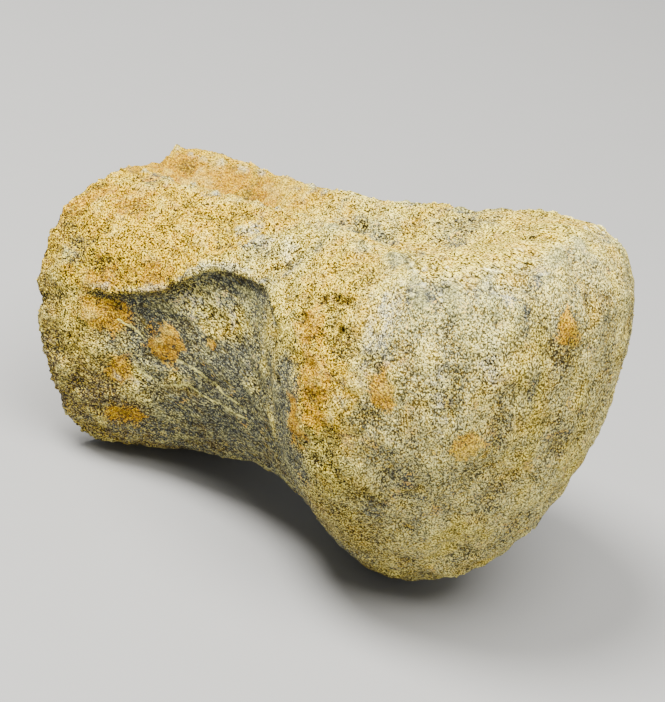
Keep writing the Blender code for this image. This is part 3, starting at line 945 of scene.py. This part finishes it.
def colour_group(grain_tree):
    """The whole colouring of the fossil from its region masks, with its roughness and fine height."""
    tones = tuple(bpy.context.scene.fossil_tone.__annotations__)
    inputs = [("Vector", "Vector")] + [(tone.title(), "Color") for tone in tones]
    inputs += [(key.title() + " Mask", "Float") for key in COLOUR_MASKS]
    inputs += [("Relief", "Float"), ("Paleness", "Float")]
    tree, fed, out = new_group(
        "fossil_colour", "ShaderNodeTree", inputs,
        [("Color", "Color"), ("Roughness", "Float"), ("Height", "Float")])
    tone = {name: fed.outputs[name.title()] for name in tones}
    mask = {key: fed.outputs[key.title() + " Mask"] for key in COLOUR_MASKS}
    place, relief = fed.outputs["Vector"], fed.outputs["Relief"]
    grain = node(tree, "ShaderNodeGroup", node_tree=grain_tree, named={
        "Vector": place, "Upright": mask["upright"], "Lengthwise": mask["lengthwise"]})
    pattern = grain.outputs
    ragged = total(tree, product(tree, pattern["Mottle"], 0.6), product(tree, pattern["Height"], 0.4))
    rusty = stain(tree, mask, "rust", ragged)

    colour = bare_bone(tree, tone, mask, pattern)
    colour = stained(tree, colour, tone, mask, pattern, rusty)
    # Painted shade: colour darkened towards umber where the relief is low and in the pits.
    shaded_pits = step(tree, mask["pit"], 0.3, 0.7, 0.0, 0.7)
    low = calc(tree, "MAXIMUM", step(tree, relief, -0.10, -0.45), shaded_pits)
    colour = blend(tree, product(tree, low, 0.7), colour, tone["umber"])
    # Painted highlight: raised relief lightened towards glint.
    colour = blend(tree, product(tree, step(tree, relief, 0.06, 0.4), 0.2), colour, tone["glint"])
    colour = speckled(tree, colour, tone, mask, pattern, rusty, fed.outputs["Paleness"])
    colour = blend(tree, product(tree, pattern["Fibre"], 0.28), colour, tone["cream"])
    colour = scratched(tree, colour, tone, pattern, place)
    roughness = step(tree, pattern["Fleck"], 0.2, 1.0, 0.9, 0.5)
    put_out(tree, out, {"Color": colour, "Roughness": roughness, "Height": pattern["Height"]})
    return tree


def new_material(name):
    material = bpy.data.materials.new(name)
    material.use_nodes = True
    return material, material.node_tree, material.node_tree.nodes["Principled BSDF"]


def fossil_material(name, colour_tree, paleness):
    """Mineral-filled bone. Paleness lifts the colour of the crust's grains over the bone's own."""
    settings = bpy.context.scene.fossil_tone
    material, tree, shader = new_material(name)
    place = node(tree, "ShaderNodeTexCoord").outputs["Object"]
    fed = {"Vector": into_own_frame(tree, place), "Paleness": paleness}
    for tone in settings.__annotations__:
        fed[tone.title()] = opaque(getattr(settings, tone))
    read = {**{key.title() + " Mask": key for key in COLOUR_MASKS}, "Relief": "relief"}
    for label, key in read.items():
        fed[label] = node(tree, "ShaderNodeAttribute", attribute_name=key).outputs["Fac"]
    look = node(tree, "ShaderNodeGroup", node_tree=colour_tree, named=fed).outputs
    bump = node(tree, "ShaderNodeBump", named={
        "Strength": BUMP_STRENGTH, "Distance": BUMP_DISTANCE, "Height": look["Height"]})
    shown = {"Base Color": look["Color"], "Roughness": look["Roughness"], "Normal": bump.outputs[0]}
    shown.update({"Specular IOR Level": SPECULAR, "Specular Tint": SPECULAR_TINT})
    for key, value in shown.items():
        feed(tree, shader.inputs[key], value)
    return material


def floor_material(colour):
    material, tree, shader = new_material("pale_floor")
    place = node(tree, "ShaderNodeTexCoord").outputs["Object"]
    darker = [channel * FLOOR_MOTTLE for channel in colour]
    shade = blend(tree, noise(tree, place, FLOOR_SCALE, 4.0), opaque(colour), opaque(darker))
    tree.links.new(shade, shader.inputs["Base Color"])
    shader.inputs["Roughness"].default_value = FLOOR_ROUGHNESS
    return material


# Operators.


class FOSSIL_OT_bone(bpy.types.Operator):
    """Build the bone's weathered surface in place of the plain solid"""

    bl_idname = "fossil.bone"
    bl_label = "Bone"

    def execute(self, context):
        skin = plain_mesh(skin_of("centrum"), "centrum_skin")
        store_regions(skin.data)
        lower_ledge(skin.data)
        material = fossil_material("fossil_bone_surface", colour_group(grain_group()), 0.0)
        add_tree(skin, weathering_tree(), inputs_from(context.scene.fossil_skin, material))
        bone = plain_mesh(skin, "bone_surface")
        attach(bone, "root")
        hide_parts("centrum")
        return {"FINISHED"}


class FOSSIL_OT_crust(bpy.types.Operator):
    """Scatter mineral grains over the bone's surface"""

    bl_idname = "fossil.crust"
    bl_label = "Crust"

    def execute(self, context):
        bed = new_object("crust_bed", bpy.data.objects["bone_surface"].data.copy())
        material = fossil_material("crust_grain", bpy.data.node_groups["fossil_colour"], CRUST_PALENESS)
        add_tree(bed, crust_tree(), inputs_from(context.scene.fossil_crust, material))
        crust = plain_mesh(bed, "crust_grains")
        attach(crust, "root")
        return {"FINISHED"}


def camera_axes(stage):
    a, e, r = stage.azimuth, stage.elevation, stage.roll
    back = Vector((math.sin(a) * math.cos(e), -math.cos(a) * math.cos(e), math.sin(e)))
    level = Vector((math.cos(a), math.sin(a), 0.0))
    upward = back.cross(level)
    right = math.cos(r) * level + math.sin(r) * upward
    up = math.cos(r) * upward - math.sin(r) * level
    return right, up, back


def facing(place, right, up, back):
    """The world matrix of a thing at place that looks along -back."""
    turned = Matrix((right, up, back)).transposed().to_4x4()
    return Matrix.Translation(place) @ turned


def add_area_light(name, target, direction, distance, size, power):
    light = bpy.data.lights.new(name, "AREA")
    light.shape = "DISK"
    light.size = size
    light.energy = power
    light.color = LAMP_COLOUR
    lamp = new_object(name, light)
    lamp.location = target + direction.normalized() * distance
    lamp.rotation_euler = direction.to_track_quat("Z", "Y").to_euler()


class FOSSIL_OT_stage(bpy.types.Operator):
    """Set the pale floor, the soft lights and the camera"""

    bl_idname = "fossil.stage"
    bl_label = "Stage"

    def execute(self, context):
        stage = context.scene.fossil_stage
        target = Vector(stage.target)
        right, up, back = camera_axes(stage)

        view = bpy.data.cameras.new("view")
        view.lens = stage.lens
        view.clip_start = NEAREST_SEEN
        camera = new_object("view", view)
        camera.matrix_world = facing(target + back * stage.distance, right, up, back)
        context.scene.camera = camera

        half = FLOOR_HALF
        corners = [(-half, -half, 0.0), (half, -half, 0.0), (half, half, 0.0), (-half, half, 0.0)]
        mesh = bpy.data.meshes.new("floor")
        mesh.from_pydata(corners, [], [(0, 1, 2, 3)])
        mesh.materials.append(floor_material(stage.floor))
        floor = new_object("floor", mesh)

        for name, power in (("key", stage.key_power), ("fill", stage.fill_power)):
            upwards, backwards, sideways, distance, size = LAMPS[name]
            direction = upwards * up + backwards * back + sideways * right
            add_area_light(name, target, direction, distance, size, power)
        world = bpy.data.worlds.new("soft_sky")
        world.use_nodes = True
        sky = world.node_tree.nodes["Background"]
        sky.inputs["Color"].default_value = SKY_COLOUR
        sky.inputs["Strength"].default_value = stage.sky
        context.scene.world = world
        return {"FINISHED"}


class FOSSIL_PT_panel(bpy.types.Panel):
    bl_label = "Fossil"
    bl_space_type = "VIEW_3D"
    bl_region_type = "UI"
    bl_category = "Fossil"

    def draw(self, context):
        for operator in (FOSSIL_OT_bone, FOSSIL_OT_crust, FOSSIL_OT_stage):
            self.layout.operator(operator.bl_idname)
        for name in SETTINGS:
            box = self.layout.box()
            settings = getattr(context.scene, name)
            for key in settings.__annotations__:
                box.prop(settings, key)


SETTINGS = {
    "fossil_skin": SkinSettings,
    "fossil_crust": CrustSettings,
    "fossil_tone": ToneSettings,
    "fossil_stage": StageSettings,
}
CLASSES = (*SETTINGS.values(), FOSSIL_OT_bone, FOSSIL_OT_crust, FOSSIL_OT_stage, FOSSIL_PT_panel)


def register():
    for cls in CLASSES:
        bpy.utils.register_class(cls)
    for name, group in SETTINGS.items():
        setattr(bpy.types.Scene, name, bpy.props.PointerProperty(type=group))


def unregister():
    for name in SETTINGS:
        delattr(bpy.types.Scene, name)
    for cls in reversed(CLASSES):
        bpy.utils.unregister_class(cls)


def main():
    register()
    bpy.ops.fossil.bone()
    bpy.ops.fossil.crust()
    bpy.ops.fossil.stage()


if __name__ == "__main__":
    main()
